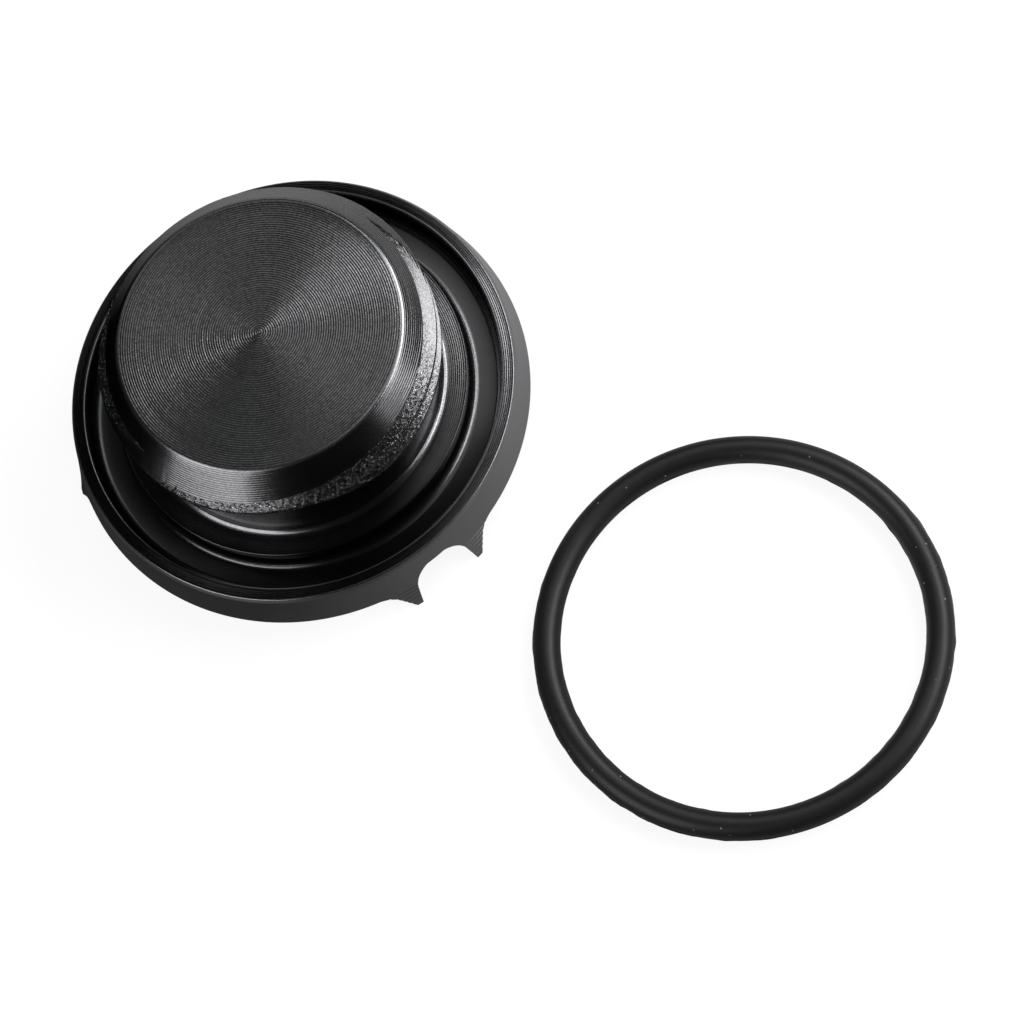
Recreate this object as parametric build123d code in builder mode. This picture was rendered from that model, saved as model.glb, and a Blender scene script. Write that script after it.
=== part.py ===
from build123d import *
import os
from math import acos, atan2, cos, degrees, radians, sin, tan

os.makedirs("parts", exist_ok=True)

# An oil filler cap turned from one billet, with the seal of its groove lying beside it.
# The cap stands on its grip face, so its threaded plug points up along +Z.
# The origin is the centre of the grip face. All sizes are in millimetres.

# Plug with a coarse thread of two starts
PLUG_HEIGHT = 16.5
PLUG_CHAMFER = 3.25
PLUG_EDGE_BREAK = 0.35
THREAD_DIAMETER = 41.0
THREAD_DEPTH = 1.4
THREAD_PITCH = 3.3
THREAD_STARTS = 2
THREAD_LENGTH = 7.8
THREAD_CREST_WIDTH = 0.75
THREAD_CREST_DROP = 3.3
THREAD_FLANK_ANGLE = 30.0
THREAD_ROOT_BURY = 0.3
THREAD_OVERRUN_TURNS = 0.7
UNDERCUT_DEPTH = 0.45
UNDERCUT_ROOT_WIDTH = 0.75
UNDERCUT_ROOT_HEIGHT = 0.75

# Rings round the plug, from the inside out: shelf, seal groove, land, bevel and skirt
RIM_HEIGHT = 8.5
SHELF_WIDTH = 2.45
SHELF_DROP = 0.3
GROOVE_WIDTH = 4.15
GROOVE_DEPTH = 3.35
GROOVE_CORNER = 0.8
LAND_WIDTH = 1.6
EDGE_BREAK = 0.2
RIM_BEVEL_WIDTH = 0.28
RIM_BEVEL_HEIGHT = 0.47
SKIRT_FLARE = 2.12
SKIRT_RADIUS = 57.0

# Finger ears round the grip disc, in pairs with an arch between the two ears of a pair
EAR_PAIRS = 3
FIRST_PAIR_ANGLE = -90.0
ARCH_RADIUS = 3.8
ARCH_SPLAY = 0.45
ARCH_CROWN_HEIGHT = 5.85
RECESS_HEIGHT = 3.65
RECESS_CORNER_RADIUS = 3.2
EAR_FLANK_SPLAY = 1.03
EAR_TIP_WIDTH = 0.84
CORE_WALL = 2.5
CORE_BEVEL_ANGLE = 26.5
CUT_MARGIN = 2.0

# Seal ring, off the cap
SEAL_STRETCH = 0.7
SEAL_SQUEEZE = 0.15
SEAL_GAP = 7.8
SEAL_DIRECTION = -69.7
SEAL_SECTION_SIDES = 24

# Radii and heights that follow from the sizes above
crest_radius = THREAD_DIAMETER / 2
root_radius = crest_radius - THREAD_DEPTH
face_radius = crest_radius - PLUG_CHAMFER
undercut_radius = root_radius - UNDERCUT_DEPTH
shelf_inner_radius = undercut_radius + UNDERCUT_ROOT_WIDTH
groove_inner_radius = shelf_inner_radius + SHELF_WIDTH
groove_outer_radius = groove_inner_radius + GROOVE_WIDTH
land_radius = groove_outer_radius + LAND_WIDTH
skirt_top_radius = land_radius + RIM_BEVEL_WIDTH
ear_radius = skirt_top_radius + SKIRT_FLARE
groove_floor_height = RIM_HEIGHT - GROOVE_DEPTH
shelf_height = RIM_HEIGHT - SHELF_DROP
cap_height = RIM_HEIGHT + PLUG_HEIGHT
thread_start_height = cap_height - THREAD_LENGTH
plug_joint_height = (shelf_height + UNDERCUT_ROOT_HEIGHT + thread_start_height) / 2
cut_radius = ear_radius + CUT_MARGIN


def corner(sketch, radius, height):
    """Return the corner of a half section that lies nearest to a radius and height."""
    return sketch.vertices().sort_by_distance((radius, height, 0))[0]


def radial_plane(angle):
    """Return the upright plane on the axis that faces outward at an angle in degrees."""
    outward = (cos(radians(angle)), sin(radians(angle)), 0)
    sideways = (-sin(radians(angle)), cos(radians(angle)), 0)
    return Plane(origin=(0, 0, 0), x_dir=sideways, z_dir=outward)


def touch_point(foot, centre, radius):
    """Return where a straight wall that rises from a foot runs smoothly into a round top."""
    across = foot[0] - centre[0]
    upward = foot[1] - centre[1]
    reach = (across**2 + upward**2) ** 0.5
    angle = atan2(upward, across) + acos(radius / reach)
    return (centre[0] + radius * cos(angle), centre[1] + radius * sin(angle))


# Turned disc: half section with the skirt, the groove and the lower half of the undercut
with BuildPart() as disc:
    with BuildSketch(Plane.XZ) as half_section:
        with BuildLine():
            Polyline(
                (skirt_top_radius, RIM_HEIGHT - RIM_BEVEL_HEIGHT),
                (land_radius, RIM_HEIGHT),
                (groove_outer_radius, RIM_HEIGHT),
                (groove_outer_radius, groove_floor_height),
                (groove_inner_radius, groove_floor_height),
                (groove_inner_radius, shelf_height),
                (shelf_inner_radius, shelf_height),
                (undercut_radius, shelf_height + UNDERCUT_ROOT_HEIGHT),
                (undercut_radius, plug_joint_height),
                (0, plug_joint_height),
                (0, 0),
                (ear_radius, 0),
            )
            RadiusArc(
                (ear_radius, 0),
                (skirt_top_radius, RIM_HEIGHT - RIM_BEVEL_HEIGHT),
                SKIRT_RADIUS,
            )
        make_face()
        floor_corners = [
            corner(half_section, groove_outer_radius, groove_floor_height),
            corner(half_section, groove_inner_radius, groove_floor_height),
        ]
        chamfer(floor_corners, length=GROOVE_CORNER)
        land_edges = [
            corner(half_section, groove_outer_radius, RIM_HEIGHT),
            corner(half_section, groove_inner_radius, shelf_height),
        ]
        chamfer(land_edges, length=EDGE_BREAK)
    revolve(axis=Axis.Z)

# Threaded plug: a bar with one helical ridge for each start, trimmed by the plug's outline
# On the +X side, the middle of one crest lies THREAD_CREST_DROP under the plug's end
lead = THREAD_PITCH * THREAD_STARTS
turns_below_end = int(THREAD_LENGTH / lead) + 1
ridge_run = (turns_below_end + THREAD_OVERRUN_TURNS) * lead
ridge_foot_radius = root_radius - THREAD_ROOT_BURY
ridge_height = crest_radius - ridge_foot_radius
ridge_foot_width = THREAD_CREST_WIDTH + 2 * ridge_height * tan(radians(THREAD_FLANK_ANGLE))
outline_radius = crest_radius + EDGE_BREAK
outline_corner_height = cap_height - (outline_radius - face_radius)

with BuildPart() as threaded_plug:
    Cylinder(root_radius, cap_height + lead, align=(Align.CENTER, Align.CENTER, Align.MIN))
    for start in range(THREAD_STARTS):
        ridge_base = cap_height - THREAD_CREST_DROP - turns_below_end * lead + start * THREAD_PITCH
        with BuildLine(Plane.XY.offset(ridge_base)):
            ridge_path = Helix(pitch=lead, height=ridge_run, radius=ridge_foot_radius)
        with BuildSketch(Plane(origin=ridge_path @ 0, x_dir=(1, 0, 0), z_dir=ridge_path % 0)):
            with BuildLine():
                Polyline(
                    (0, -ridge_foot_width / 2),
                    (ridge_height, -THREAD_CREST_WIDTH / 2),
                    (ridge_height, THREAD_CREST_WIDTH / 2),
                    (0, ridge_foot_width / 2),
                    close=True,
                )
            make_face()
        sweep(path=ridge_path, is_frenet=True)
    with BuildSketch(Plane.XZ):
        with BuildLine():
            Polyline(
                (0, plug_joint_height),
                (undercut_radius, plug_joint_height),
                (undercut_radius, thread_start_height),
                (outline_radius, thread_start_height),
                (outline_radius, outline_corner_height),
                (face_radius, cap_height),
                (0, cap_height),
                close=True,
            )
        make_face()
    revolve(axis=Axis.Z, mode=Mode.INTERSECT)
    chamfer(threaded_plug.faces().sort_by(Axis.Z)[-1].edges(), length=PLUG_EDGE_BREAK)

# Milled cuts that leave the ears: an arch inside each pair and a long recess between pairs
core_rest_radius = groove_outer_radius + CORE_WALL - ARCH_CROWN_HEIGHT * tan(radians(CORE_BEVEL_ANGLE))
core_top_radius = core_rest_radius + RIM_HEIGHT * tan(radians(CORE_BEVEL_ANGLE))
pair_spacing = 360 / EAR_PAIRS
arch_centre = (0, ARCH_CROWN_HEIGHT - ARCH_RADIUS)
arch_foot = (ARCH_RADIUS + ARCH_SPLAY, 0)
arch_touch = touch_point(arch_foot, arch_centre, ARCH_RADIUS)
corner_centre = (0, RECESS_HEIGHT - RECESS_CORNER_RADIUS)
corner_foot = (RECESS_CORNER_RADIUS + EAR_FLANK_SPLAY, 0)
corner_touch = touch_point(corner_foot, corner_centre, RECESS_CORNER_RADIUS)
recess_end_offset = arch_foot[0] + EAR_TIP_WIDTH + corner_foot[0]
recess_end_angle = degrees(recess_end_offset / ear_radius)

with BuildPart() as ear_cuts:
    for pair in range(EAR_PAIRS):
        pair_angle = FIRST_PAIR_ANGLE + pair * pair_spacing
        with BuildSketch(radial_plane(pair_angle)):
            with Locations(arch_centre):
                Circle(ARCH_RADIUS)
            with BuildLine():
                Polyline(
                    (arch_foot[0], -CUT_MARGIN),
                    arch_foot,
                    arch_touch,
                    (-arch_touch[0], arch_touch[1]),
                    (-arch_foot[0], 0),
                    (-arch_foot[0], -CUT_MARGIN),
                    close=True,
                )
            make_face()
        extrude(amount=cut_radius)
        for side in (-1, 1):
            with BuildSketch(radial_plane(pair_angle + side * recess_end_angle)):
                with Locations(corner_centre):
                    Circle(RECESS_CORNER_RADIUS)
                with BuildLine():
                    Polyline(
                        (0, -CUT_MARGIN),
                        (-side * corner_foot[0], -CUT_MARGIN),
                        (-side * corner_foot[0], 0),
                        (-side * corner_touch[0], corner_touch[1]),
                        corner_centre,
                        close=True,
                    )
                make_face()
            extrude(amount=cut_radius)
        with BuildSketch(Plane.XZ.rotated((0, 0, pair_angle + recess_end_angle))):
            with Locations((cut_radius / 2, RECESS_HEIGHT / 2 - CUT_MARGIN / 2)):
                Rectangle(cut_radius, RECESS_HEIGHT + CUT_MARGIN)
        revolve(axis=Axis.Z, revolution_arc=pair_spacing - 2 * recess_end_angle)
    with BuildSketch(Plane.XZ):
        with BuildLine():
            Polyline(
                (0, -RECESS_CORNER_RADIUS - ARCH_RADIUS - CUT_MARGIN),
                (core_rest_radius, -RECESS_CORNER_RADIUS - ARCH_RADIUS - CUT_MARGIN),
                (core_rest_radius, 0),
                (core_top_radius, RIM_HEIGHT),
                (0, RIM_HEIGHT),
                close=True,
            )
        make_face()
    revolve(axis=Axis.Z, mode=Mode.SUBTRACT)

# Finished cap in one piece
with BuildPart() as cap_body:
    add(disc.part)
    add(threaded_plug.part)
    add(ear_cuts.part, mode=Mode.SUBTRACT)

cap_body.part.label = "cap_body"
export_step(cap_body.part, "parts/cap_body.step")

# Seal ring: a round cord, a little tight on the groove's inner wall, lying flat beside the cap
seal_cord_diameter = GROOVE_DEPTH + SEAL_SQUEEZE
seal_bore_diameter = 2 * groove_inner_radius - SEAL_STRETCH
seal_outer_radius = seal_bore_diameter / 2 + seal_cord_diameter
seal_distance = ear_radius + SEAL_GAP + seal_outer_radius
seal_centre_x = seal_distance * cos(radians(SEAL_DIRECTION))
seal_centre_y = seal_distance * sin(radians(SEAL_DIRECTION))

# The round section is drawn with flats, so that the ring has one to lie on and few facets
seal_centre = (seal_centre_x, seal_centre_y, seal_cord_diameter / 2)
with BuildPart() as o_ring:
    with BuildSketch(Plane(origin=seal_centre, x_dir=(1, 0, 0), z_dir=(0, -1, 0))):
        with Locations(((seal_bore_diameter + seal_cord_diameter) / 2, 0)):
            RegularPolygon(
                radius=seal_cord_diameter / 2,
                side_count=SEAL_SECTION_SIDES,
                major_radius=False,
                rotation=180 / SEAL_SECTION_SIDES,
            )
    revolve(axis=Axis(origin=seal_centre, direction=(0, 0, 1)))

o_ring.part.label = "o_ring"
export_step(o_ring.part, "parts/o_ring.step")
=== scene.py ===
"""Dress the oil filler cap and its seal ring for a studio picture.

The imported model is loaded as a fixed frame. The two rigid solids are replaced by finer
pieces of the same size: a turned disc with finger ears, a threaded plug and a rubber ring.
Sizes of the pieces are in millimetres, and the meshes are in metres.
"""

import logging
import math
from collections.abc import Callable
from dataclasses import dataclass
from enum import Enum

import bpy
from mathutils import Matrix, Vector


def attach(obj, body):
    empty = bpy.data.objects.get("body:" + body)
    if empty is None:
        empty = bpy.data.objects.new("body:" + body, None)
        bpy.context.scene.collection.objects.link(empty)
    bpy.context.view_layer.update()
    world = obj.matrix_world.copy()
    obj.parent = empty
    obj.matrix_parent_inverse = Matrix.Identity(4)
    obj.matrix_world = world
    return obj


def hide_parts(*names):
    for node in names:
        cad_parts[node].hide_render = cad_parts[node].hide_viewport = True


logging.basicConfig(level=logging.INFO, format="%(message)s")
log = logging.getLogger("filler_cap")

MM = 0.001
FULL_TURN = 2 * math.pi
LINE_CREST_END = 0.5
LINE_CREST_FALL = 0.19
LINE_CUT_PLACE = 0.74
CLEAN_CUT_ANGLE = -25.0

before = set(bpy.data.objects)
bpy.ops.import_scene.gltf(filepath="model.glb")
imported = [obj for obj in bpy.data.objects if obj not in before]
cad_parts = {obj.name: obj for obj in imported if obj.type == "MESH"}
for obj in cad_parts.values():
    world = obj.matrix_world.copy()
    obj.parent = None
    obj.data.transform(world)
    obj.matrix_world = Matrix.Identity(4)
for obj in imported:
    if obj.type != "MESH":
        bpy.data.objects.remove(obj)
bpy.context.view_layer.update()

Point = tuple[float, float]
Corner = tuple[float, float, float]


class Cut(Enum):
    """The ways in which one closed piece may work on another."""

    JOIN = "UNION"
    TAKE_AWAY = "DIFFERENCE"
    KEEP_INSIDE = "INTERSECT"


class Slot(Enum):
    """Names of the record's material slots, which this script does not use."""

    METAL = "cap_metal"
    RUBBER = "seal_rubber"


# Modelling helpers


def clear_selection() -> None:
    """Leave edit mode and deselect every object."""
    if bpy.context.object and bpy.context.object.mode != "OBJECT":
        bpy.ops.object.mode_set(mode="OBJECT")
    bpy.ops.object.select_all(action="DESELECT")


def pick(piece: bpy.types.Object) -> None:
    """Make a piece the only selected and the active object.

    Args:
        piece: The object to work on next.
    """
    clear_selection()
    piece.select_set(True)
    bpy.context.view_layer.objects.active = piece


def settle(piece: bpy.types.Object) -> None:
    """Move a piece's place into its mesh, so that its object is at the origin.

    Args:
        piece: The object to settle.
    """
    pick(piece)
    bpy.ops.object.transform_apply(location=True, rotation=True, scale=True)


def clean(piece: bpy.types.Object, distance: float = 0.00002) -> None:
    """Merge doubled points and turn every face outward.

    Args:
        piece: The object to clean.
        distance: Points nearer than this, in millimetres, become one.
    """
    pick(piece)
    bpy.ops.object.mode_set(mode="EDIT")
    bpy.ops.mesh.select_all(action="SELECT")
    bpy.ops.mesh.remove_doubles(threshold=distance * MM)
    bpy.ops.mesh.normals_make_consistent(inside=False)
    bpy.ops.object.mode_set(mode="OBJECT")


def start_point(name: str, place: tuple[float, float, float]) -> bpy.types.Object:
    """Add a mesh of one point, from which an outline is drawn.

    Args:
        name: The new object's name.
        place: Where the point goes, in millimetres.

    Returns:
        The new object, in edit mode with its point selected.
    """
    clear_selection()
    bpy.ops.mesh.primitive_plane_add(size=MM, location=[value * MM for value in place])
    piece = bpy.context.object
    piece.name = name
    settle(piece)
    bpy.ops.object.mode_set(mode="EDIT")
    bpy.ops.mesh.select_all(action="SELECT")
    bpy.ops.mesh.merge(type="CENTER")
    return piece


def draw_outline(name: str, outline: list[Point]) -> bpy.types.Object:
    """Draw a half section in the XZ plane, one point after the other.

    Args:
        name: The new object's name.
        outline: Radius and height of each point, in millimetres.

    Returns:
        The new object, in edit mode.
    """
    radius, height = outline[0]
    piece = start_point(name, (radius, 0, height))
    for next_radius, next_height in outline[1:]:
        step = ((next_radius - radius) * MM, 0, (next_height - height) * MM)
        bpy.ops.mesh.extrude_vertices_move(TRANSFORM_OT_translate={"value": step})
        radius, height = next_radius, next_height
    return piece


def turn(name: str, outline: list[Point], steps: int, centre: Point = (0, 0)) -> bpy.types.Object:
    """Turn a half section about an upright axis, as on a lathe.

    Args:
        name: The new object's name.
        outline: Radius and height of each point, in millimetres.
        steps: Number of steps in the full turn.
        centre: Where the axis stands, in millimetres.

    Returns:
        The turned piece, closed at its seam and its poles.
    """
    piece = draw_outline(name, [(radius + centre[0], height) for radius, height in outline])
    bpy.ops.mesh.select_all(action="SELECT")
    bpy.ops.transform.translate(value=(0, centre[1] * MM, 0))
    bpy.ops.mesh.spin(
        steps=steps,
        angle=FULL_TURN,
        center=(centre[0] * MM, centre[1] * MM, 0),
        axis=(0, 0, 1),
    )
    clean(piece)
    return piece


def work_on(piece: bpy.types.Object, tool: bpy.types.Object, how: Cut, crossing: bool = False) -> None:
    """Join, cut or trim a piece with a tool piece, and remove the tool.

    Args:
        piece: The piece that stays.
        tool: The closed piece that works on it.
        how: What the tool does.
        crossing: Whether the tool's own parts cross each other.
    """
    pick(piece)
    cut = piece.modifiers.new("cut", "BOOLEAN")
    cut.operation = how.value
    cut.solver = "EXACT"
    cut.use_self = crossing
    cut.object = tool
    bpy.ops.object.modifier_apply(modifier=cut.name)
    bpy.data.objects.remove(tool, do_unlink=True)


def duplicate(piece: bpy.types.Object, name: str) -> bpy.types.Object:
    """Copy a piece with its own mesh.

    Args:
        piece: The piece to copy.
        name: The copy's name.

    Returns:
        The copy, selected and active.
    """
    copy = piece.copy()
    copy.data = piece.data.copy()
    copy.name = name
    bpy.context.collection.objects.link(copy)
    pick(copy)
    return copy


def swing(piece: bpy.types.Object, angle: float) -> None:
    """Turn a piece's mesh about the cap's axis.

    Args:
        piece: The piece to turn.
        angle: The angle in degrees, counter-clockwise from above.
    """
    pick(piece)
    piece.matrix_world = Matrix.Rotation(math.radians(angle), 4, "Z")
    settle(piece)


def join_all(pieces: list[bpy.types.Object], name: str) -> bpy.types.Object:
    """Join several pieces into one object.

    Args:
        pieces: The pieces to join.
        name: The joined object's name.

    Returns:
        The joined object.
    """
    pick(pieces[0])
    for piece in pieces[1:]:
        piece.select_set(True)
    bpy.ops.object.join()
    joined = bpy.context.object
    joined.name = name
    return joined


def smooth(piece: bpy.types.Object, angle: float = 28.0) -> None:
    """Shade a piece smooth and keep its sharp edges.

    Args:
        piece: The piece to shade.
        angle: Edges sharper than this, in degrees, stay sharp.
    """
    pick(piece)
    bpy.ops.object.shade_smooth_by_angle(angle=math.radians(angle))


def eased(corners: list[Corner], points: int = 3) -> list[Point]:
    """Round the corners of an outline.

    Args:
        corners: Radius, height and rounding radius of each corner, in millimetres.
        points: Number of steps in each rounded corner.

    Returns:
        The outline's points, with each rounded corner drawn as a short arc.
    """
    outline: list[Point] = []
    for index, (radius, height, ease) in enumerate(corners):
        here = Vector((radius, height))
        if ease == 0 or index in (0, len(corners) - 1):
            outline.append((radius, height))
            continue
        to_last = (Vector(corners[index - 1][:2]) - here).normalized()
        to_next = (Vector(corners[index + 1][:2]) - here).normalized()
        half = to_last.angle(to_next) / 2
        reach = ease / math.tan(half)
        middle = here + (to_last + to_next).normalized() * (ease / math.sin(half))
        first = here + to_last * reach - middle
        last = here + to_next * reach - middle
        sweep = first.angle_signed(last)
        for step in range(points + 1):
            spoke = first.copy()
            spoke.rotate(Matrix.Rotation(-sweep * step / points, 2))
            outline.append((middle.x + spoke.x, middle.y + spoke.y))
    return outline


def scored(inner: float, outer: float, height: float, lines: int, depth: float) -> list[Point]:
    """Draw the section of a flat ring with fine turned lines in it.

    Each line falls gently outward and ends in a narrow cut, as a pointed tool leaves it.

    Args:
        inner: Radius where the lines start.
        outer: Radius where the lines end.
        height: Height of the ring.
        lines: How many lines there are.
        depth: Depth of each line.

    Returns:
        The points of the lines, without the ring's own two ends.
    """
    points: list[Point] = []
    pitch = (outer - inner) / lines
    for line in range(lines):
        start = inner + pitch * line
        points.append((start, height))
        points.append((start + pitch * LINE_CREST_END, height - depth * LINE_CREST_FALL))
        points.append((start + pitch * LINE_CUT_PLACE, height - depth))
    return points + [(outer, height)]


# Finishes


class Recipe:
    """A material under construction: it adds nodes and links them in one line each."""

    def __init__(self, name: str) -> None:
        """Start a material with nothing but its output and its main shader."""
        self.material = bpy.data.materials.new(name)
        self.material.use_nodes = True
        self.tree = self.material.node_tree
        self.shader = next(n for n in self.tree.nodes if n.type == "BSDF_PRINCIPLED")

    def feed(self, socket: bpy.types.NodeSocket, source: object) -> None:
        """Link a node's output to a socket, or set the socket to a plain value."""
        if isinstance(source, bpy.types.NodeSocket):
            self.tree.links.new(source, socket)
        else:
            socket.default_value = source

    def math(self, operation: str, first: object, second: object = 0.0) -> bpy.types.NodeSocket:
        """Add a Math node and return its output."""
        node = self.tree.nodes.new("ShaderNodeMath")
        node.operation = operation
        self.feed(node.inputs[0], first)
        self.feed(node.inputs[1], second)
        return node.outputs[0]

    def place(self) -> bpy.types.NodeSocket:
        """Return the object coordinates, in metres."""
        return self.tree.nodes.new("ShaderNodeTexCoord").outputs["Object"]

    def split(self, vector: bpy.types.NodeSocket) -> list[bpy.types.NodeSocket]:
        """Return the three numbers of a vector."""
        node = self.tree.nodes.new("ShaderNodeSeparateXYZ")
        self.feed(node.inputs[0], vector)
        return list(node.outputs)

    def build_vector(self, x: object, y: object, z: object) -> bpy.types.NodeSocket:
        """Return a vector made of three numbers."""
        node = self.tree.nodes.new("ShaderNodeCombineXYZ")
        for socket, source in zip(node.inputs, (x, y, z)):
            self.feed(socket, source)
        return node.outputs[0]

    def noise(self, where: bpy.types.NodeSocket, scale: float, detail: float = 2.0) -> bpy.types.NodeSocket:
        """Return a noise in space, from 0 to 1."""
        node = self.tree.nodes.new("ShaderNodeTexNoise")
        self.feed(node.inputs["Vector"], where)
        node.inputs["Scale"].default_value = scale
        node.inputs["Detail"].default_value = detail
        return node.outputs["Fac"]

    def line_noise(self, along: bpy.types.NodeSocket, scale: float) -> bpy.types.NodeSocket:
        """Return a noise that changes along one number only."""
        node = self.tree.nodes.new("ShaderNodeTexNoise")
        node.noise_dimensions = "1D"
        self.feed(node.inputs["W"], along)
        node.inputs["Scale"].default_value = scale
        node.inputs["Detail"].default_value = 1.0
        return node.outputs["Fac"]

    def cells(self, where: bpy.types.NodeSocket, scale: float) -> bpy.types.NodeSocket:
        """Return the distance to the nearest of many scattered points."""
        node = self.tree.nodes.new("ShaderNodeTexVoronoi")
        self.feed(node.inputs["Vector"], where)
        node.inputs["Scale"].default_value = scale
        return node.outputs["Distance"]

    def fit(self, source: bpy.types.NodeSocket, low: Point, high: Point) -> bpy.types.NodeSocket:
        """Map a number so that low[0] gives low[1] and high[0] gives high[1], clamped."""
        node = self.tree.nodes.new("ShaderNodeMapRange")
        self.feed(node.inputs["Value"], source)
        node.inputs["From Min"].default_value = low[0]
        node.inputs["From Max"].default_value = high[0]
        node.inputs["To Min"].default_value = low[1]
        node.inputs["To Max"].default_value = high[1]
        return node.outputs["Result"]

    def blend(self, amount: object, first: object, second: object) -> bpy.types.NodeSocket:
        """Mix two colours."""
        node = self.tree.nodes.new("ShaderNodeMix")
        node.data_type = "RGBA"
        self.feed(node.inputs[0], amount)
        self.feed(node.inputs[6], first)
        self.feed(node.inputs[7], second)
        return node.outputs[2]

    def bump(self, height: bpy.types.NodeSocket, depth: float) -> None:
        """Give the shader relief of a depth in millimetres, on top of any it has."""
        node = self.tree.nodes.new("ShaderNodeBump")
        node.inputs["Strength"].default_value = 1.0
        node.inputs["Distance"].default_value = depth * MM
        self.feed(node.inputs["Height"], height)
        links = self.shader.inputs["Normal"].links
        if links:
            self.tree.links.new(links[0].from_socket, node.inputs["Normal"])
        self.tree.links.new(node.outputs["Normal"], self.shader.inputs["Normal"])


def grey(level: float) -> tuple[float, float, float, float]:
    """Return a neutral colour that is a touch cool."""
    return (level, level, level * 1.03, 1.0)


@dataclass(frozen=True)
class TurnedMetal:
    """Black anodised aluminium with the fine lines that a turning tool leaves, their valleys painted darker
    as painted shade.
    """

    name: str
    colour: float = 0.11
    roughness: float = 0.22
    anisotropy: float = 0.35
    line_pitch: float = 0.29
    line_depth: float = 0.0136
    waver: float = 0.003
    drift: float = 0.3
    dust: float = 0.5
    mottle: float = 0.3
    grain_depth: float = 0.005
    # How far the valleys of the turned lines are painted towards black: painted shade.
    painted_hollow_shade: float = 0.0
    metallic: float = 1.0
    grain_scale: float = 4200.0

    def make(self) -> bpy.types.Material:
        """Build the material.

        Returns:
            The new material.
        """
        recipe = Recipe(self.name)
        place = recipe.place()
        x, y, z = recipe.split(place)
        square = recipe.math("ADD", recipe.math("MULTIPLY", x, x), recipe.math("MULTIPLY", y, y))
        radius = recipe.math("SQRT", square)
        along = recipe.math("DIVIDE", recipe.math("SUBTRACT", radius, z), self.line_pitch * MM)
        drift = recipe.math("MULTIPLY", recipe.noise(place, 60.0), self.drift)
        along = recipe.math("ADD", along, drift)
        turned = recipe.math("MULTIPLY", along, FULL_TURN)
        lean = recipe.math("MULTIPLY", recipe.math("SINE", recipe.math("MULTIPLY", turned, 2.0)), 0.25)
        wave = recipe.math("ADD", recipe.math("SINE", turned), lean)
        fine = recipe.line_noise(along, 1.9)
        recipe.bump(fine, self.waver)
        uneven = recipe.fit(fine, (0.3, 0.75), (0.7, 1.0))
        recipe.bump(recipe.math("MULTIPLY", wave, uneven), self.line_depth)
        grain = recipe.noise(place, self.grain_scale, 2.0)
        recipe.bump(grain, self.grain_depth)

        cloud = recipe.noise(place, 140.0, 4.0)
        specks = recipe.fit(recipe.cells(place, 240.0), (0.012, self.dust), (0.028, 0.0))
        streaks = recipe.fit(fine, (0.3, 0.0), (0.7, 1.0))
        tone = recipe.blend(streaks, grey(self.colour * 0.85), grey(self.colour * 1.15))
        worn = recipe.fit(cloud, (0.35, 0.0), (0.7, 0.4))
        tone = recipe.blend(worn, tone, grey(self.colour * 1.2))
        dots = recipe.fit(grain, (0.38, self.mottle), (0.58, 0.0))
        tone = recipe.blend(dots, tone, grey(self.colour * 0.25))
        # Painted shade: the valleys of the turned lines are darkened by the painted hollow shade amount.
        valley_shade_mask = recipe.fit(wave, (-0.9, self.painted_hollow_shade), (0.7, 0.0))
        tone = recipe.blend(valley_shade_mask, tone, grey(self.colour * 0.1))
        tone = recipe.blend(specks, tone, grey(0.4))
        recipe.feed(recipe.shader.inputs["Base Color"], tone)
        rough = recipe.fit(cloud, (0.3, self.roughness * 0.9), (0.7, self.roughness * 1.15))
        recipe.feed(recipe.shader.inputs["Roughness"], rough)
        recipe.shader.inputs["Metallic"].default_value = self.metallic
        recipe.shader.inputs["Anisotropic"].default_value = self.anisotropy
        recipe.feed(recipe.shader.inputs["Tangent"], recipe.build_vector(x, y, 0.0))
        return recipe.material


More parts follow.
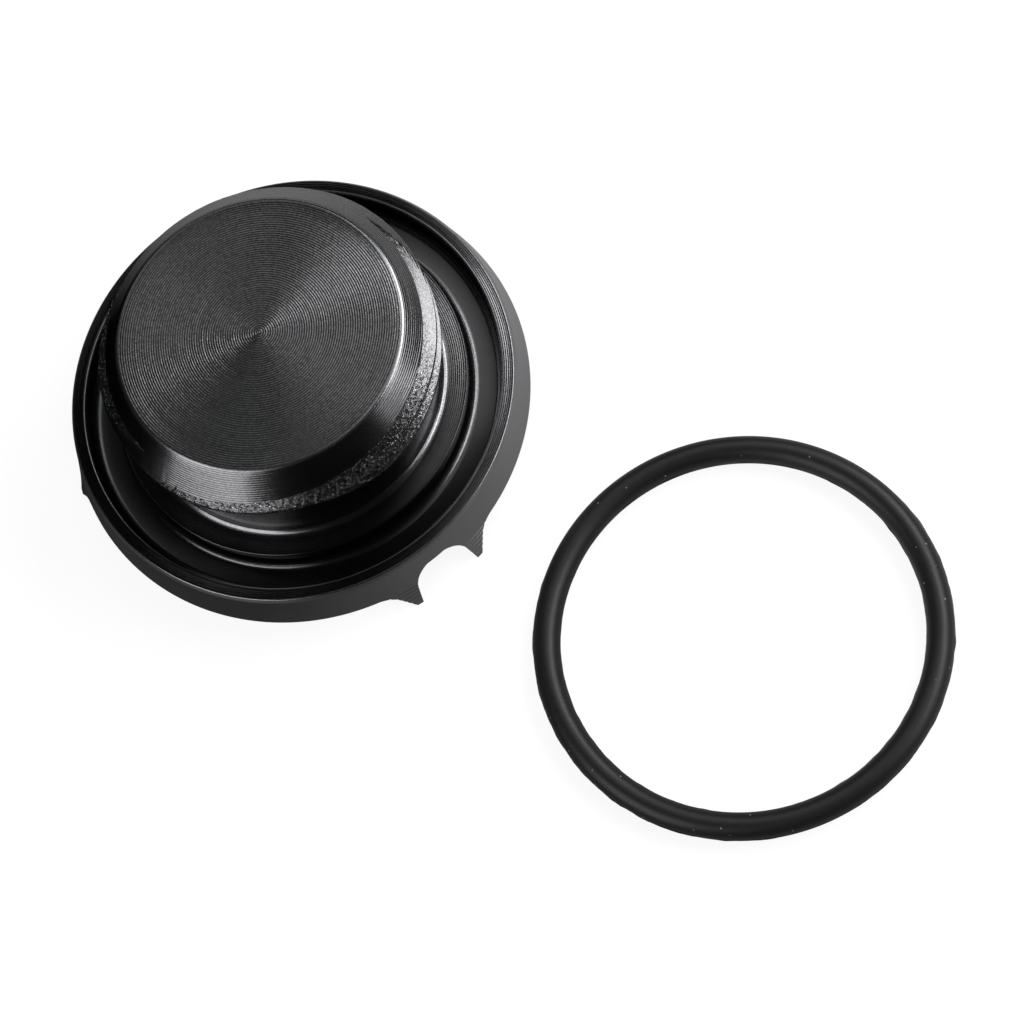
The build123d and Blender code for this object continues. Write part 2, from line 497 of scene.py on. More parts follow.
@dataclass(frozen=True)
class TornMetal:
    """The thread's metal: smooth where the tool cut clean, torn and pitted elsewhere, with painted shade in
    its pits and cracks.
    """

    name: str
    colour: float = 0.135
    roughness: float = 0.24
    grain: float = 0.3
    depth: float = 0.07

    def make(self) -> bpy.types.Material:
        """Build the material.

        Returns:
            The new material.
        """
        recipe = Recipe(self.name)
        place = recipe.place()
        x, y, z = recipe.split(place)
        facing = math.radians(CLEAN_CUT_ANGLE)
        ahead = recipe.math(
            "ADD",
            recipe.math("MULTIPLY", x, math.cos(facing)),
            recipe.math("MULTIPLY", y, math.sin(facing)),
        )
        torn = recipe.fit(ahead, (0.0168, 1.0), (0.0194, 0.12))
        drawn = recipe.build_vector(
            recipe.math("MULTIPLY", x, 0.5),
            recipe.math("MULTIPLY", y, 0.5),
            recipe.math("MULTIPLY", z, 1.3),
        )
        grain = recipe.noise(drawn, 1000.0 / self.grain, 4.0)
        spread = recipe.math("ABSOLUTE", recipe.math("SUBTRACT", grain, 0.5))
        cracks_with_painted_shade = recipe.math("MULTIPLY", torn, recipe.fit(spread, (0.012, 1.0), (0.03, 0.0)))
        crumbs = recipe.noise(drawn, 2400.0 / self.grain, 2.0)
        chips = recipe.math("MULTIPLY", torn, recipe.fit(crumbs, (0.6, 0.0), (0.66, 1.0)))
        rough_ground = recipe.math("MULTIPLY", grain, torn)
        height = recipe.math("SUBTRACT", rough_ground, recipe.math("MULTIPLY", cracks_with_painted_shade, 0.35))
        recipe.bump(height, self.depth)
        recipe.bump(chips, self.depth * 0.5)
        recipe.bump(recipe.noise(place, 3000.0, 2.0), 0.008)

        # Painted shade: the pits and cracks of the torn metal are painted near black.
        painted_hollow_shade = recipe.math("MULTIPLY", torn, recipe.fit(grain, (0.3, 0.9), (0.42, 0.0)))
        tone = recipe.blend(torn, grey(self.colour), grey(self.colour * 0.75))
        tone = recipe.blend(chips, tone, grey(self.colour * 3.5))
        tone = recipe.blend(painted_hollow_shade, tone, grey(0.01))
        tone = recipe.blend(cracks_with_painted_shade, tone, grey(0.006))
        recipe.feed(recipe.shader.inputs["Base Color"], tone)
        recipe.feed(recipe.shader.inputs["Roughness"], recipe.fit(torn, (0.0, self.roughness), (1.0, 0.2)))
        recipe.shader.inputs["Metallic"].default_value = 1.0
        return recipe.material


@dataclass(frozen=True)
class SatinMetal:
    """Black anodised aluminium with a smooth satin skin."""

    name: str
    colour: float = 0.11
    roughness: float = 0.36
    metallic: float = 1.0

    def make(self) -> bpy.types.Material:
        """Build the material.

        Returns:
            The new material.
        """
        recipe = Recipe(self.name)
        place = recipe.place()
        grain = recipe.noise(place, 5200.0, 2.0)
        cloud = recipe.noise(place, 90.0, 4.0)
        recipe.bump(grain, 0.004)
        specks = recipe.fit(recipe.cells(place, 200.0), (0.014, 0.5), (0.03, 0.0))
        tone = recipe.blend(cloud, grey(self.colour * 0.85), grey(self.colour * 1.15))
        tone = recipe.blend(specks, tone, grey(0.35))
        recipe.feed(recipe.shader.inputs["Base Color"], tone)
        recipe.feed(
            recipe.shader.inputs["Roughness"],
            recipe.fit(cloud, (0.3, self.roughness * 0.9), (0.7, self.roughness * 1.1)),
        )
        recipe.shader.inputs["Metallic"].default_value = self.metallic
        return recipe.material


@dataclass(frozen=True)
class MouldedRubber:
    """Matt black rubber with a fine skin and a little dust."""

    name: str
    colour: float = 0.008
    roughness: float = 0.42

    def make(self) -> bpy.types.Material:
        """Build the material.

        Returns:
            The new material.
        """
        recipe = Recipe(self.name)
        place = recipe.place()
        grain = recipe.noise(place, 4200.0, 3.0)
        cloud = recipe.noise(place, 110.0, 4.0)
        recipe.bump(grain, 0.01)
        recipe.bump(cloud, 0.08)
        dust = recipe.fit(recipe.cells(place, 560.0), (0.035, 0.7), (0.07, 0.0))
        tone = recipe.blend(cloud, grey(self.colour * 0.8), grey(self.colour * 1.3))
        tone = recipe.blend(dust, tone, grey(0.3))
        recipe.feed(recipe.shader.inputs["Base Color"], tone)
        recipe.feed(
            recipe.shader.inputs["Roughness"],
            recipe.fit(grain, (0.3, self.roughness * 0.9), (0.7, self.roughness * 1.15)),
        )
        recipe.shader.inputs["Specular IOR Level"].default_value = 0.3
        return recipe.material


def dress_by_place(
    piece: bpy.types.Object,
    materials: list[bpy.types.Material],
    choose: Callable[[float, float, float], int],
) -> None:
    """Give each face of a piece one of several materials by its place.

    Args:
        piece: The piece to dress.
        materials: The materials, in the order of their numbers.
        choose: Returns the material's number for a face from its radius and height in
            millimetres and the upward part of its normal.
    """
    piece.data.materials.clear()
    for material in materials:
        piece.data.materials.append(material)
    for face in piece.data.polygons:
        radius = math.hypot(face.center.x, face.center.y) / MM
        face.material_index = choose(radius, face.center.z / MM, face.normal.z)


# The cap


@dataclass
class TurnedDisc:
    """The disc under the plug: undercut, shelf, seal groove, land, skirt and finger ears."""

    top: float = 17.25
    undercut_radius: float = 18.65
    root_ease: float = 1.0
    shelf_inner: float = 19.7
    shelf_height: float = 8.2
    groove_inner: float = 21.85
    groove_outer: float = 26.0
    groove_floor: float = 5.15
    land_height: float = 8.5
    land_radius: float = 27.6
    skirt_top_radius: float = 27.88
    skirt_top_height: float = 8.03
    ear_radius: float = 30.0
    skirt_radius: float = 57.0
    skirt_steps: int = 26
    floor_ease: float = 1.1
    edge_ease: float = 0.26
    crisp_ease: float = 0.08
    land_outer_ease: float = 0.16
    line_depth: float = 0.17
    shelf_lines: int = 8
    shelf_line_share: float = 0.9
    land_lines: int = 5
    ear_line_top: float = 3.5
    ear_line_foot: float = 0.8
    pair_count: int = 3
    first_pair: float = -90.0
    arch_radius: float = 3.8
    arch_splay: float = 0.45
    arch_crown: float = 5.85
    recess_height: float = 3.65
    corner_radius: float = 3.2
    flank_splay: float = 1.03
    ear_tip_width: float = 0.84
    arc_steps: int = 40
    core_rest_radius: float = 25.583
    core_top_radius: float = 29.821
    tool_start: float = 19.5
    tool_length: float = 13.0
    arch_foot: float = -3.8
    corner_foot: float = -3.4
    band_inner: float = 20.0
    band_outer: float = 32.0
    band_foot: float = -3.0
    core_foot: float = -12.0
    core_head: float = 9.0
    steps: int = 360

    def skirt(self) -> list[Point]:
        """Return the points of the concave skirt from its top to the ear tips.

        Returns:
            Radius and height of each point, with fine steps low on the ears.
        """
        top = Vector((self.skirt_top_radius, self.skirt_top_height))
        tip = Vector((self.ear_radius, 0.0))
        chord = tip - top
        middle = (top + tip) / 2
        outward = Vector((-chord.y, chord.x)).normalized()
        depth = math.sqrt(self.skirt_radius**2 - (chord.length / 2) ** 2)
        centre = middle + outward * depth
        first = top - centre
        sweep = first.angle_signed(tip - centre)
        points: list[Point] = []
        for step in range(1, self.skirt_steps):
            spoke = first.copy()
            spoke.rotate(Matrix.Rotation(-sweep * step / self.skirt_steps, 2))
            points.append((centre.x + spoke.x, centre.y + spoke.y))
        lined: list[Point] = []
        for radius, height in points:
            lined.append((radius, height))
            if self.ear_line_foot < height < self.ear_line_top and len(lined) % 2:
                lined.append((radius - 0.1, height - 0.1))
                lined.append((radius + 0.05, height - 0.2))
        return lined

    def section(self) -> list[Point]:
        """Return the half section of the disc, from the top of the axis to its foot."""
        upper: list[Corner] = [
            (0.0, self.top, 0.0),
            (self.undercut_radius, self.top, 0.0),
            (self.undercut_radius, self.shelf_height, self.root_ease),
            (self.groove_inner, self.shelf_height, self.crisp_ease),
            (self.groove_inner, self.groove_floor, self.floor_ease),
            (self.groove_outer, self.groove_floor, self.floor_ease),
            (self.groove_outer, self.land_height, self.edge_ease),
            (self.land_radius, self.land_height, self.land_outer_ease),
            (self.skirt_top_radius, self.skirt_top_height, self.crisp_ease),
            (self.ear_radius, 0.0, 0.0),
        ]
        points = eased(upper, 8)[:-1]
        shelf_line_depth = self.line_depth * self.shelf_line_share
        shelf_end = self.groove_inner - 0.14
        land_start, land_end = self.groove_outer + 0.3, self.land_radius - 0.15
        shelf = scored(self.shelf_inner, shelf_end, self.shelf_height, self.shelf_lines, shelf_line_depth)
        land = scored(land_start, land_end, self.land_height, self.land_lines, self.line_depth)
        points = self.insert(points, shelf, self.shelf_height)
        points = self.insert(points, land, self.land_height)
        tip = [(self.ear_radius, 0.0)]
        return points + self.skirt() + tip + [(0.0, 0.0)]

    @staticmethod
    def insert(points: list[Point], extra: list[Point], height: float) -> list[Point]:
        """Put the points of turned lines between the two ends of a flat ring.

        Args:
            points: The outline so far.
            extra: The points to add.
            height: Height of the ring that they belong to.

        Returns:
            The outline with the extra points.
        """
        for index in range(len(points) - 1):
            here, after = points[index], points[index + 1]
            flat = abs(here[1] - height) < 1e-6 and abs(after[1] - height) < 1e-6
            if flat and after[0] - here[0] > 0.8:
                return points[: index + 1] + extra + points[index + 1 :]
        return points

    def flared_side(self, radius: float, splay: float, crown: float, foot_height: float) -> list[Point]:
        """Draw one flared wall of a cut and the half of its round top.

        Args:
            radius: Radius of the round top.
            splay: How much wider the wall's foot stands.
            crown: Height of the top.
            foot_height: Height of the tool's own foot, under the cap.

        Returns:
            Sideways place and height of each point, from under the foot to the crown.
        """
        middle = crown - radius
        foot = Vector((radius + splay, -middle))
        first = math.atan2(foot.y, foot.x) + math.acos(radius / foot.length)
        points: list[Point] = [(radius + splay, foot_height), (radius + splay, 0.0)]
        for step in range(self.arc_steps + 1):
            angle = first + (math.pi / 2 - first) * step / self.arc_steps
            points.append((radius * math.cos(angle), middle + radius * math.sin(angle)))
        return points

    def ear_tool(self, outline: list[Point], angle: float) -> bpy.types.Object:
        """Push an upright outline outward into a tool that cuts the skirt.

        Args:
            outline: Sideways place and height of each point.
            angle: Where round the cap the tool stands, in degrees.

        Returns:
            The closed tool.
        """
        across, height = outline[0]
        tool = start_point("ear_tool", (self.tool_start, across, height))
        for next_across, next_height in outline[1:]:
            step = (0, (next_across - across) * MM, (next_height - height) * MM)
            bpy.ops.mesh.extrude_vertices_move(TRANSFORM_OT_translate={"value": step})
            across, height = next_across, next_height
        bpy.ops.mesh.select_all(action="SELECT")
        bpy.ops.mesh.edge_face_add()
        bpy.ops.mesh.select_all(action="SELECT")
        bpy.ops.mesh.extrude_region_move(TRANSFORM_OT_translate={"value": (self.tool_length * MM, 0, 0)})
        clean(tool)
        swing(tool, angle)
        return tool

    def recess_tool(self, start: float, sweep: float) -> list[bpy.types.Object]:
        """Make the tools that cut one long recess between two pairs of ears.

        Args:
            start: Where the recess's straight part starts, in degrees.
            sweep: How far it goes, in degrees.

        Returns:
            The tool of the straight part and the tools of its two round ends.
        """
        # A spin by a positive angle goes clockwise from above
        clear_selection()
        bpy.ops.mesh.primitive_plane_add(size=MM, location=(0, 0, 0), rotation=(math.pi / 2, 0, 0))
        band = bpy.context.object
        band.scale = (self.band_outer - self.band_inner, self.recess_height - self.band_foot, 1)
        middle = ((self.band_outer + self.band_inner) / 2, 0, (self.recess_height + self.band_foot) / 2)
        band.location = Vector(middle) * MM
        settle(band)
        bpy.ops.object.mode_set(mode="EDIT")
        bpy.ops.mesh.select_all(action="SELECT")
        bpy.ops.mesh.spin(
            steps=round(sweep),
            angle=-math.radians(sweep),
            center=(0, 0, 0),
            axis=(0, 0, 1),
        )
        clean(band)
        swing(band, start)
        tools = [band]
        # The corners end a hair under the band, so that no two faces lie in one plane
        crown = self.recess_height - 0.001
        flared = self.flared_side(self.corner_radius, self.flank_splay, crown, self.corner_foot)
        corner = flared + [(-0.6, crown - 0.02), (-0.6, self.corner_foot)]
        tools.append(self.ear_tool([(-across, height) for across, height in corner], start))
        tools.append(self.ear_tool(corner, start + sweep))
        return tools

    def ear_tools(self) -> bpy.types.Object:
        """Make one tool of all the cuts that leave the ears, kept off the core."""
        half_pair = self.arch_radius + self.arch_splay + self.ear_tip_width
        end_angle = math.degrees((half_pair + self.corner_radius + self.flank_splay) / self.ear_radius)
        side = self.flared_side(self.arch_radius, self.arch_splay, self.arch_crown, self.arch_foot)
        arch = side + [(-across, height) for across, height in reversed(side[:-1])]
        spacing = 360 / self.pair_count
        tools: list[bpy.types.Object] = []
        for pair in range(self.pair_count):
            angle = self.first_pair + pair * spacing
            tools.append(self.ear_tool(arch, angle))
            tools += self.recess_tool(angle + end_angle, spacing - 2 * end_angle)
        cutter = join_all(tools, "ear_cutter")
        slope = (self.core_top_radius - self.core_rest_radius) / self.land_height
        core = turn(
            "core_keep",
            [
                (0.0, self.core_foot),
                (self.core_rest_radius, self.core_foot),
                (self.core_rest_radius, 0.0),
                (self.core_rest_radius + slope * self.core_head, self.core_head),
                (0.0, self.core_head),
            ],
            self.steps,
        )
        work_on(cutter, core, Cut.TAKE_AWAY, crossing=True)
        return cutter

    def build(self) -> bpy.types.Object:
        """Turn the disc and cut its ears.

        Returns:
            The finished mesh of the disc.
        """
        disc = turn("cap_disc", self.section(), self.steps)
        work_on(disc, self.ear_tools(), Cut.TAKE_AWAY)
        smooth(disc)
        return disc

    def material_number(self, radius: float, height: float, up: float) -> int:
        """Choose the finish of one face: 0 turned, 1 satin, 2 worn edge with painted highlight, 3 root with
        painted highlight, 4 groove with painted shade.
        """
        if radius < self.undercut_radius + self.root_ease and height > self.shelf_height + 0.005:
            return 3
        if radius > self.skirt_top_radius - 0.01 and height < self.skirt_top_height:
            return 1
        if height < 0.001:
            return 0
        if height > self.land_height - 0.3 and 0.2 < up < 0.985:
            if abs(radius - self.groove_outer) < 0.3 or abs(radius - self.land_radius) < 0.08:
                return 2
        if height < self.groove_floor + self.floor_ease + 0.01 and radius < self.land_radius:
            return 0 if 0.2 < up < 0.985 else 4
        if radius < self.land_radius:
            return 0 if height > self.shelf_height - 0.2 else 4
        return 1

    def dress(self, disc: bpy.types.Object, finishes: dict[str, bpy.types.Material]) -> None:
        """Give the disc its finishes.

        Args:
            disc: The disc's object.
            finishes: All finishes by name.
        """
        names = ("turned", "satin", "edge", "root", "groove")
        dress_by_place(disc, [finishes[name] for name in names], self.material_number)


@dataclass
class ThreadedPlug:
    """The plug above the disc: face, chamfer and a coarse thread of two starts."""

    bottom: float = 17.2
    top: float = 25.0
    crest_radius: float = 20.5
    root_radius: float = 19.1
    face_radius: float = 17.25
    edge_break: float = 0.22
    pitch: float = 3.3
    starts: int = 2
    crest_width: float = 0.75
    flank_angle: float = 30.0
    bury: float = 0.3
    first_crest: float = 15.1
    flank_cuts: int = 6
    steps: int = 360
    thread_steps: int = 420
    ragged: float = 0.06
    ragged_grain: float = 0.45
    clean_share: float = 0.15

    def ridge(self) -> bpy.types.Object:
        """Wind the section of one ridge up round the plug.

        Returns:
            One closed ridge of two turns.
        """
        foot = self.root_radius - self.bury
        rise = self.crest_radius - foot
        half_foot = self.crest_width / 2 + rise * math.tan(math.radians(self.flank_angle))
        half_crest = self.crest_width / 2
        flank = half_foot - half_crest
        outline: list[Point] = [(foot, self.first_crest - half_foot)]
        for step in range(1, self.flank_cuts + 1):
            share = step / self.flank_cuts
            outline.append((foot + rise * share, self.first_crest - half_foot + flank * share))
        outline.append((self.crest_radius, self.first_crest))
        for step in range(self.flank_cuts + 1):
            share = step / self.flank_cuts
            outline.append((self.crest_radius - rise * share, self.first_crest + half_crest + flank * share))
        piece = draw_outline("thread_ridge", outline)
        bpy.ops.mesh.select_all(action="SELECT")
        bpy.ops.mesh.edge_face_add()
        bpy.ops.mesh.delete(type="ONLY_FACE")
        bpy.ops.object.mode_set(mode="OBJECT")
        wind = piece.modifiers.new("wind", "SCREW")
        wind.axis = "Z"
        wind.angle = FULL_TURN
        wind.screw_offset = self.pitch * self.starts * MM
        wind.iterations = 2
        wind.steps = self.thread_steps
        wind.render_steps = self.thread_steps
        wind.use_smooth_shade = False
        bpy.ops.object.modifier_apply(modifier=wind.name)
        bpy.ops.object.mode_set(mode="EDIT")
        bpy.ops.mesh.select_all(action="DESELECT")
        bpy.ops.mesh.select_mode(type="EDGE")
        bpy.ops.mesh.select_non_manifold(extend=False)
        bpy.ops.mesh.fill_holes(sides=0)
        bpy.ops.mesh.select_mode(type="VERT")
        clean(piece)
        return piece

    def roughen(self, plug: bpy.types.Object) -> None:
        """Tear the thread's metal a little, as a blunt tool does.

        Args:
            plug: The plug's object.
        """
        thread = plug.vertex_groups.new(name="thread")
        weights: dict[int, float] = {}
        facing = math.radians(CLEAN_CUT_ANGLE)
        clean_way = Vector((math.cos(facing), math.sin(facing)))
        for point in plug.data.vertices:
            radius = math.hypot(point.co.x, point.co.y) / MM
            height = point.co.z / MM
            if radius > self.root_radius + 0.15 and height > self.bottom + 0.05:
                way = Vector((point.co.x, point.co.y)).normalized().dot(clean_way)
                weights[point.index] = self.clean_share if way > 0.93 else 1.0
        for index, weight in weights.items():
            thread.add([index], weight, "REPLACE")
        grain = bpy.data.textures.new("torn_grain", "CLOUDS")
        grain.noise_scale = self.ragged_grain * MM
        grain.noise_depth = 3
        tear = plug.modifiers.new("tear", "DISPLACE")
        tear.texture = grain
        tear.texture_coords = "LOCAL"
        tear.direction = "NORMAL"
        tear.strength = self.ragged * MM
        tear.mid_level = 0.6
        tear.vertex_group = thread.name
        pick(plug)
        bpy.ops.object.modifier_apply(modifier=tear.name)
        smooth(plug, 32.0)

    def build(self) -> bpy.types.Object:
        """Wind the thread onto a bar and trim it to the plug's outline.

        Returns:
            The finished mesh of the plug.
        """
        plug = turn(
            "threaded_plug",
            [
                (0.0, self.bottom - 1),
                (self.root_radius, self.bottom - 1),
                (self.root_radius, self.top + 1),
                (0.0, self.top + 1),
            ],
            self.thread_steps,
        )
        ridge = self.ridge()
        for start in range(1, self.starts):
            other = duplicate(ridge, "thread_ridge_copy")
            swing(other, start * 360 / self.starts)
            work_on(plug, other, Cut.JOIN)
        work_on(plug, ridge, Cut.JOIN)
        beyond = self.crest_radius + 0.3
        slope = [(self.face_radius + step * 0.65, self.top - step * 0.65) for step in range(5, 0, -1)]
        corners_only: list[Point] = [
            (0.0, self.bottom),
            (beyond, self.bottom),
            (beyond, self.top - (beyond - self.face_radius)),
            *slope,
            (self.face_radius + self.edge_break * 0.7, self.top - self.edge_break * 0.7),
            (self.face_radius - self.edge_break * 0.1, self.top - self.edge_break * 0.28),
            (self.face_radius - self.edge_break, self.top),
            (self.face_radius - 2, self.top),
            (self.face_radius - 8, self.top),
            (0.0, self.top),
        ]
        envelope = turn("plug_envelope", corners_only, self.steps)
        work_on(plug, envelope, Cut.KEEP_INSIDE)
        return plug

    def material_number(self, radius: float, height: float, up: float) -> int:
        """Choose the finish of one face: 0 face, 1 chamfer, 2 worn edge with painted highlight, 3 thread."""
        if height > self.top - 0.005:
            return 0
        if radius < self.face_radius + self.edge_break and height > self.top - self.edge_break * 0.7:
            return 2
        cone_height = self.top - (radius - self.face_radius)
        if abs(height - cone_height) < 0.12 and up > 0.5:
            return 1
        return 3

    def dress(self, plug: bpy.types.Object, finishes: dict[str, bpy.types.Material]) -> None:
        """Give the plug its finishes.

        Args:
            plug: The plug's object.
            finishes: All finishes by name.
        """
        names = ("face", "chamfer", "edge", "thread")
        dress_by_place(plug, [finishes[name] for name in names], self.material_number)


@dataclass
class SealRing:
    """The rubber ring of the groove, lying flat beside the cap."""

    bore: float = 43.0
    cord: float = 3.5
    centre_x: float = 21.7876
    centre_y: float = -58.8977
    sides: int = 64
    steps: int = 420
    flash: float = 0.1
    flash_grain: float = 2.2

    def build(self) -> bpy.types.Object:
        """Turn the cord's round section about the ring's own axis.

        Returns:
            The finished mesh of the ring.
        """
        middle = (self.bore + self.cord) / 2
        clear_selection()
        bpy.ops.mesh.primitive_circle_add(
            vertices=self.sides,
            radius=self.cord / 2 * MM,
            location=((self.centre_x + middle) * MM, self.centre_y * MM, self.cord / 2 * MM),
            rotation=(math.pi / 2, 0, 0),
        )
        ring = bpy.context.object
        ring.name = "seal_ring"
        ring.scale = (1 - 2 * self.flash / self.cord, 1, 1)
        settle(ring)
        bpy.ops.object.mode_set(mode="EDIT")
        bpy.ops.mesh.select_all(action="SELECT")
        bpy.ops.mesh.spin(
            steps=self.steps,
            angle=FULL_TURN,
            center=(self.centre_x * MM, self.centre_y * MM, 0),
            axis=(0, 0, 1),
        )
        clean(ring)
        self.add_flash(ring)
        smooth(ring, 60.0)
        return ring

    def add_flash(self, ring: bpy.types.Object) -> None:
        """Raise the ragged line of rubber where the two halves of the mould met.

        Args:
            ring: The ring's object.
        """
        middle_height = self.cord / 2
        seam = ring.vertex_groups.new(name="mould_line")
        for point in ring.data.vertices:
            if abs(point.co.z / MM - middle_height) < 0.02:
                seam.add([point.index], 1.0, "REPLACE")
        grain = bpy.data.textures.new("flash_grain", "CLOUDS")
        grain.noise_scale = self.flash_grain * MM
        grain.noise_depth = 4
        grain.contrast = 2.5
        rise = ring.modifiers.new("rise", "DISPLACE")
        rise.texture = grain
        rise.texture_coords = "LOCAL"
        rise.direction = "NORMAL"
        rise.strength = self.flash * MM
        rise.mid_level = 0.0
        rise.vertex_group = seam.name
        pick(ring)
        bpy.ops.object.modifier_apply(modifier=rise.name)

    def dress(self, ring: bpy.types.Object, finishes: dict[str, bpy.types.Material]) -> None:
        """Give the ring its rubber.

        Args:
            ring: The ring's object.
            finishes: All finishes by name.
        """
        ring.data.materials.clear()
        ring.data.materials.append(finishes["rubber"])


# Studio


@dataclass(frozen=True)
class Softbox:
    """A soft square lamp that points at the cap."""

    name: str
    azimuth: float
    elevation: float
    distance: float
    width: float
    height: float
    radiance: float

    def add(self) -> None:
        """Hang the lamp."""
        azimuth, elevation = math.radians(self.azimuth), math.radians(self.elevation)
        way = Vector(
            (
                math.cos(elevation) * math.cos(azimuth),
                math.cos(elevation) * math.sin(azimuth),
                math.sin(elevation),
            )
        )
        lamp = bpy.data.lights.new(self.name, "AREA")
        lamp.shape = "RECTANGLE"
        lamp.size = self.width
        lamp.size_y = self.height
        lamp.energy = self.radiance * math.pi * self.width * self.height
        holder = bpy.data.objects.new(self.name, lamp)
        holder.location = Vector((0, 0, 0.015)) + way * self.distance
        holder.rotation_euler = way.to_track_quat("Z", "Y").to_euler()
        bpy.context.collection.objects.link(holder)


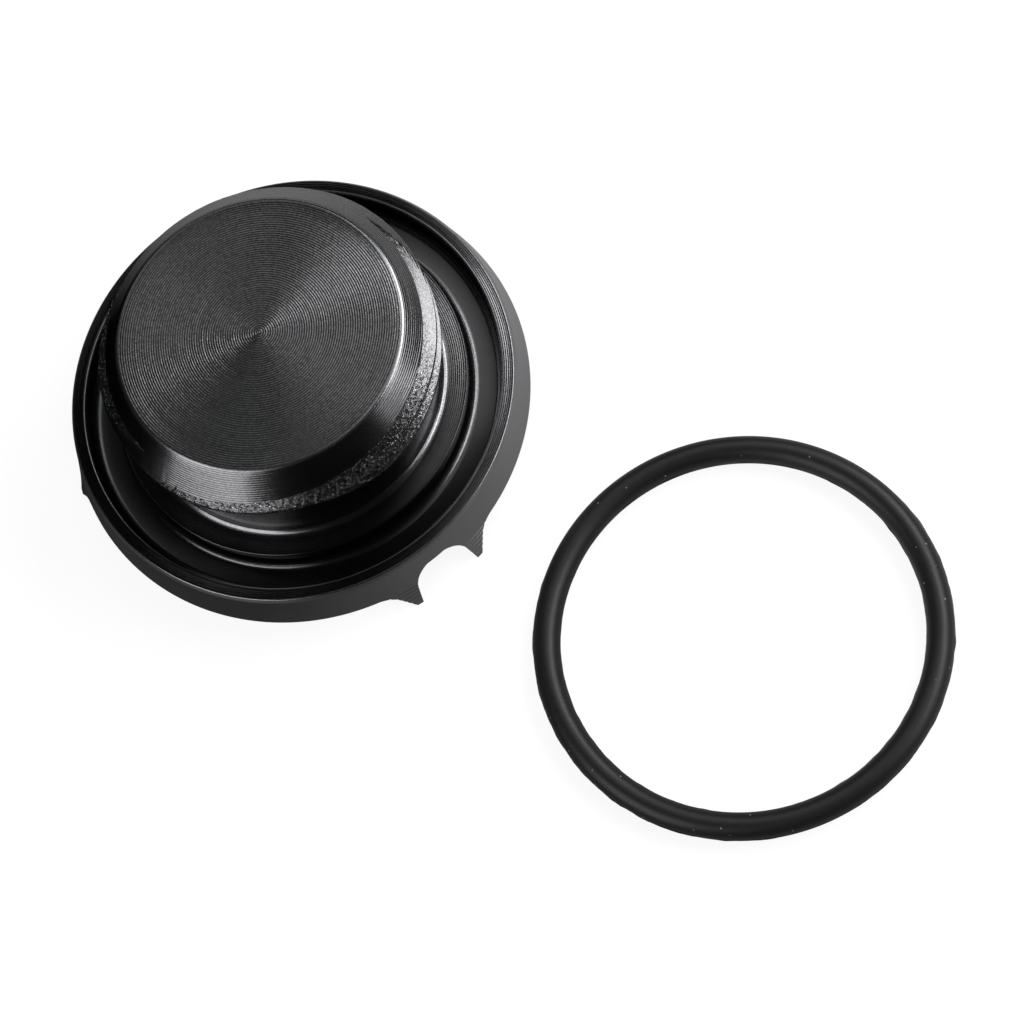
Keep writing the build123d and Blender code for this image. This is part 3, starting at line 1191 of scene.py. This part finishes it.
@dataclass
class Studio:
    """Floor, lamps, world and camera."""

    world_level: float = 0.02
    floor_tone: float = 0.14
    floor_glow: float = 0.9
    near_glow: float = 0.48
    far_glow: float = 0.7
    lens: float = 105.47
    camera_place: tuple[float, float, float] = (-22.6, -160.2, 339.08)
    camera_right: tuple[float, float, float] = (0.7722, -0.6141, -0.1631)
    camera_up: tuple[float, float, float] = (0.6287, 0.7013, 0.3360)

    def add_floor(self) -> None:
        """Lay a floor that shows white to the camera and keeps the soft shadows, with a painted reflection
        in mirror rays.
        """
        clear_selection()
        bpy.ops.mesh.primitive_plane_add(size=4.0, location=(0, 0, 0))
        floor = bpy.context.object
        floor.name = "floor"
        recipe = Recipe("floor_white")
        nodes, links = recipe.tree.nodes, recipe.tree.links
        nodes.remove(recipe.shader)
        output = next(n for n in nodes if n.type == "OUTPUT_MATERIAL")
        matt = nodes.new("ShaderNodeBsdfDiffuse")
        glow = nodes.new("ShaderNodeEmission")
        rays = nodes.new("ShaderNodeLightPath")
        # Painted reflection: to mirror rays the floor is black at low x and glows brighter towards high x.
        mirrored = recipe.math("ADD", rays.outputs["Is Glossy Ray"], rays.outputs["Is Transmission Ray"])
        recipe.feed(matt.inputs["Color"], recipe.blend(mirrored, grey(self.floor_tone), grey(0.0)))
        x, _, _ = recipe.split(recipe.place())
        near = recipe.fit(x, (-0.025, 0.0), (0.02, self.near_glow))
        far = recipe.fit(x, (0.02, 0.0), (0.2, self.far_glow))
        mirrored = recipe.math("MULTIPLY", mirrored, recipe.math("ADD", near, far))
        seen = recipe.math("MULTIPLY", rays.outputs["Is Camera Ray"], self.floor_glow)
        recipe.feed(glow.inputs["Strength"], recipe.math("ADD", seen, mirrored))
        both = nodes.new("ShaderNodeAddShader")
        links.new(matt.outputs[0], both.inputs[0])
        links.new(glow.outputs[0], both.inputs[1])
        links.new(both.outputs[0], output.inputs["Surface"])
        floor.data.materials.append(recipe.material)

    def add_world(self) -> None:
        """Fill the room with a little even light, and show it white to the camera."""
        world = bpy.data.worlds.new("studio")
        bpy.context.scene.world = world
        world.use_nodes = True
        tree = world.node_tree
        background = next(n for n in tree.nodes if n.type == "BACKGROUND")
        background.inputs["Color"].default_value = (1, 1, 1, 1)
        rays = tree.nodes.new("ShaderNodeLightPath")
        level = tree.nodes.new("ShaderNodeMapRange")
        tree.links.new(rays.outputs["Is Camera Ray"], level.inputs["Value"])
        level.inputs["To Min"].default_value = self.world_level
        level.inputs["To Max"].default_value = 1.0
        tree.links.new(level.outputs["Result"], background.inputs["Strength"])

    def add_lamps(self) -> None:
        """Hang the soft lamps round the cap."""
        for box in (
            Softbox("right_box", -12, 41, 0.45, 0.48, 0.20, 7.0),
            Softbox("low_box", -50, 20, 0.45, 0.22, 0.13, 2.4),
            Softbox("left_box", -167, 28, 0.45, 0.32, 0.36, 3.4),
            Softbox("back_box", 30, 66, 0.50, 0.34, 0.34, 0.9),
            Softbox("core_box", 41, 54, 0.50, 0.12, 0.12, 2.3),
            Softbox("far_box", 82, 43, 0.60, 0.40, 0.20, 0.45),
        ):
            box.add()

    def add_camera(self) -> None:
        """Set the camera at the picture's viewpoint."""
        camera = bpy.data.objects.new("camera", bpy.data.cameras.new("camera"))
        camera.data.lens = self.lens
        camera.data.sensor_width = 36.0
        right, up = Vector(self.camera_right).normalized(), Vector(self.camera_up)
        back = right.cross(up).normalized()
        up = back.cross(right)
        turned = Matrix((right, up, back)).transposed().to_4x4()
        camera.matrix_world = Matrix.Translation(Vector(self.camera_place) * MM) @ turned
        bpy.context.collection.objects.link(camera)
        bpy.context.scene.camera = camera

    def build(self) -> None:
        """Set up the whole studio."""
        bpy.context.scene.view_settings.view_transform = "Standard"
        self.add_floor()
        self.add_world()
        self.add_lamps()
        self.add_camera()


def finish_piece(piece: bpy.types.Object, node: str) -> None:
    """Fix a finished piece to the frame and report it.

    Args:
        piece: The finished piece.
        node: The CAD node that it stands for.
    """
    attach(piece, "root")
    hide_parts(node)
    triangles = sum(len(face.vertices) - 2 for face in piece.data.polygons)
    log.info("%s: %d triangles", piece.name, triangles)


def main() -> None:
    """Build every piece, dress it and set up the studio."""
    finishes = {
        "face": TurnedMetal(
            "turned_face",
            colour=0.2,
            roughness=0.17,
            waver=0.0,
            drift=0.1,
            dust=0.15,
            mottle=0.55,
            grain_depth=0.013,
            painted_hollow_shade=0.95,
            metallic=0.84,
            grain_scale=3900.0,
        ).make(),
        "turned": TurnedMetal("turned_black", line_depth=0.003).make(),
        "chamfer": TurnedMetal(
            "turned_chamfer",
            colour=0.15,
            roughness=0.2,
            line_pitch=0.4,
            line_depth=0.006,
            painted_hollow_shade=0.6,
        ).make(),
        # The edges' finish is lighter: partly wear, partly a painted highlight along the edges.
        "edge": TurnedMetal("worn_edge_painted_bright", colour=0.22, roughness=0.25, line_depth=0.002).make(),
        # The root's finish is a lighter copy of the turned metal: painted highlight on the undercut.
        "root": TurnedMetal("turned_root_painted_bright", colour=0.16, roughness=0.2, line_depth=0.003).make(),
        # The groove's finish is a darker copy of the black metal: painted shade in the recess.
        "groove": SatinMetal("groove_painted_dark", colour=0.065, roughness=0.2).make(),
        "satin": SatinMetal("satin_skin", colour=0.22, metallic=0.85).make(),
        "thread": TornMetal("torn_thread").make(),
        "rubber": MouldedRubber("black_rubber").make(),
    }
    disc = TurnedDisc()
    body = disc.build()
    disc.dress(body, finishes)
    finish_piece(body, "cap_body")

    plug = ThreadedPlug()
    top = plug.build()
    plug.dress(top, finishes)
    plug.roughen(top)
    finish_piece(top, "cap_body")

    seal = SealRing()
    ring = seal.build()
    seal.dress(ring, finishes)
    finish_piece(ring, "o_ring")

    Studio().build()


if __name__ == "__main__":
    main()
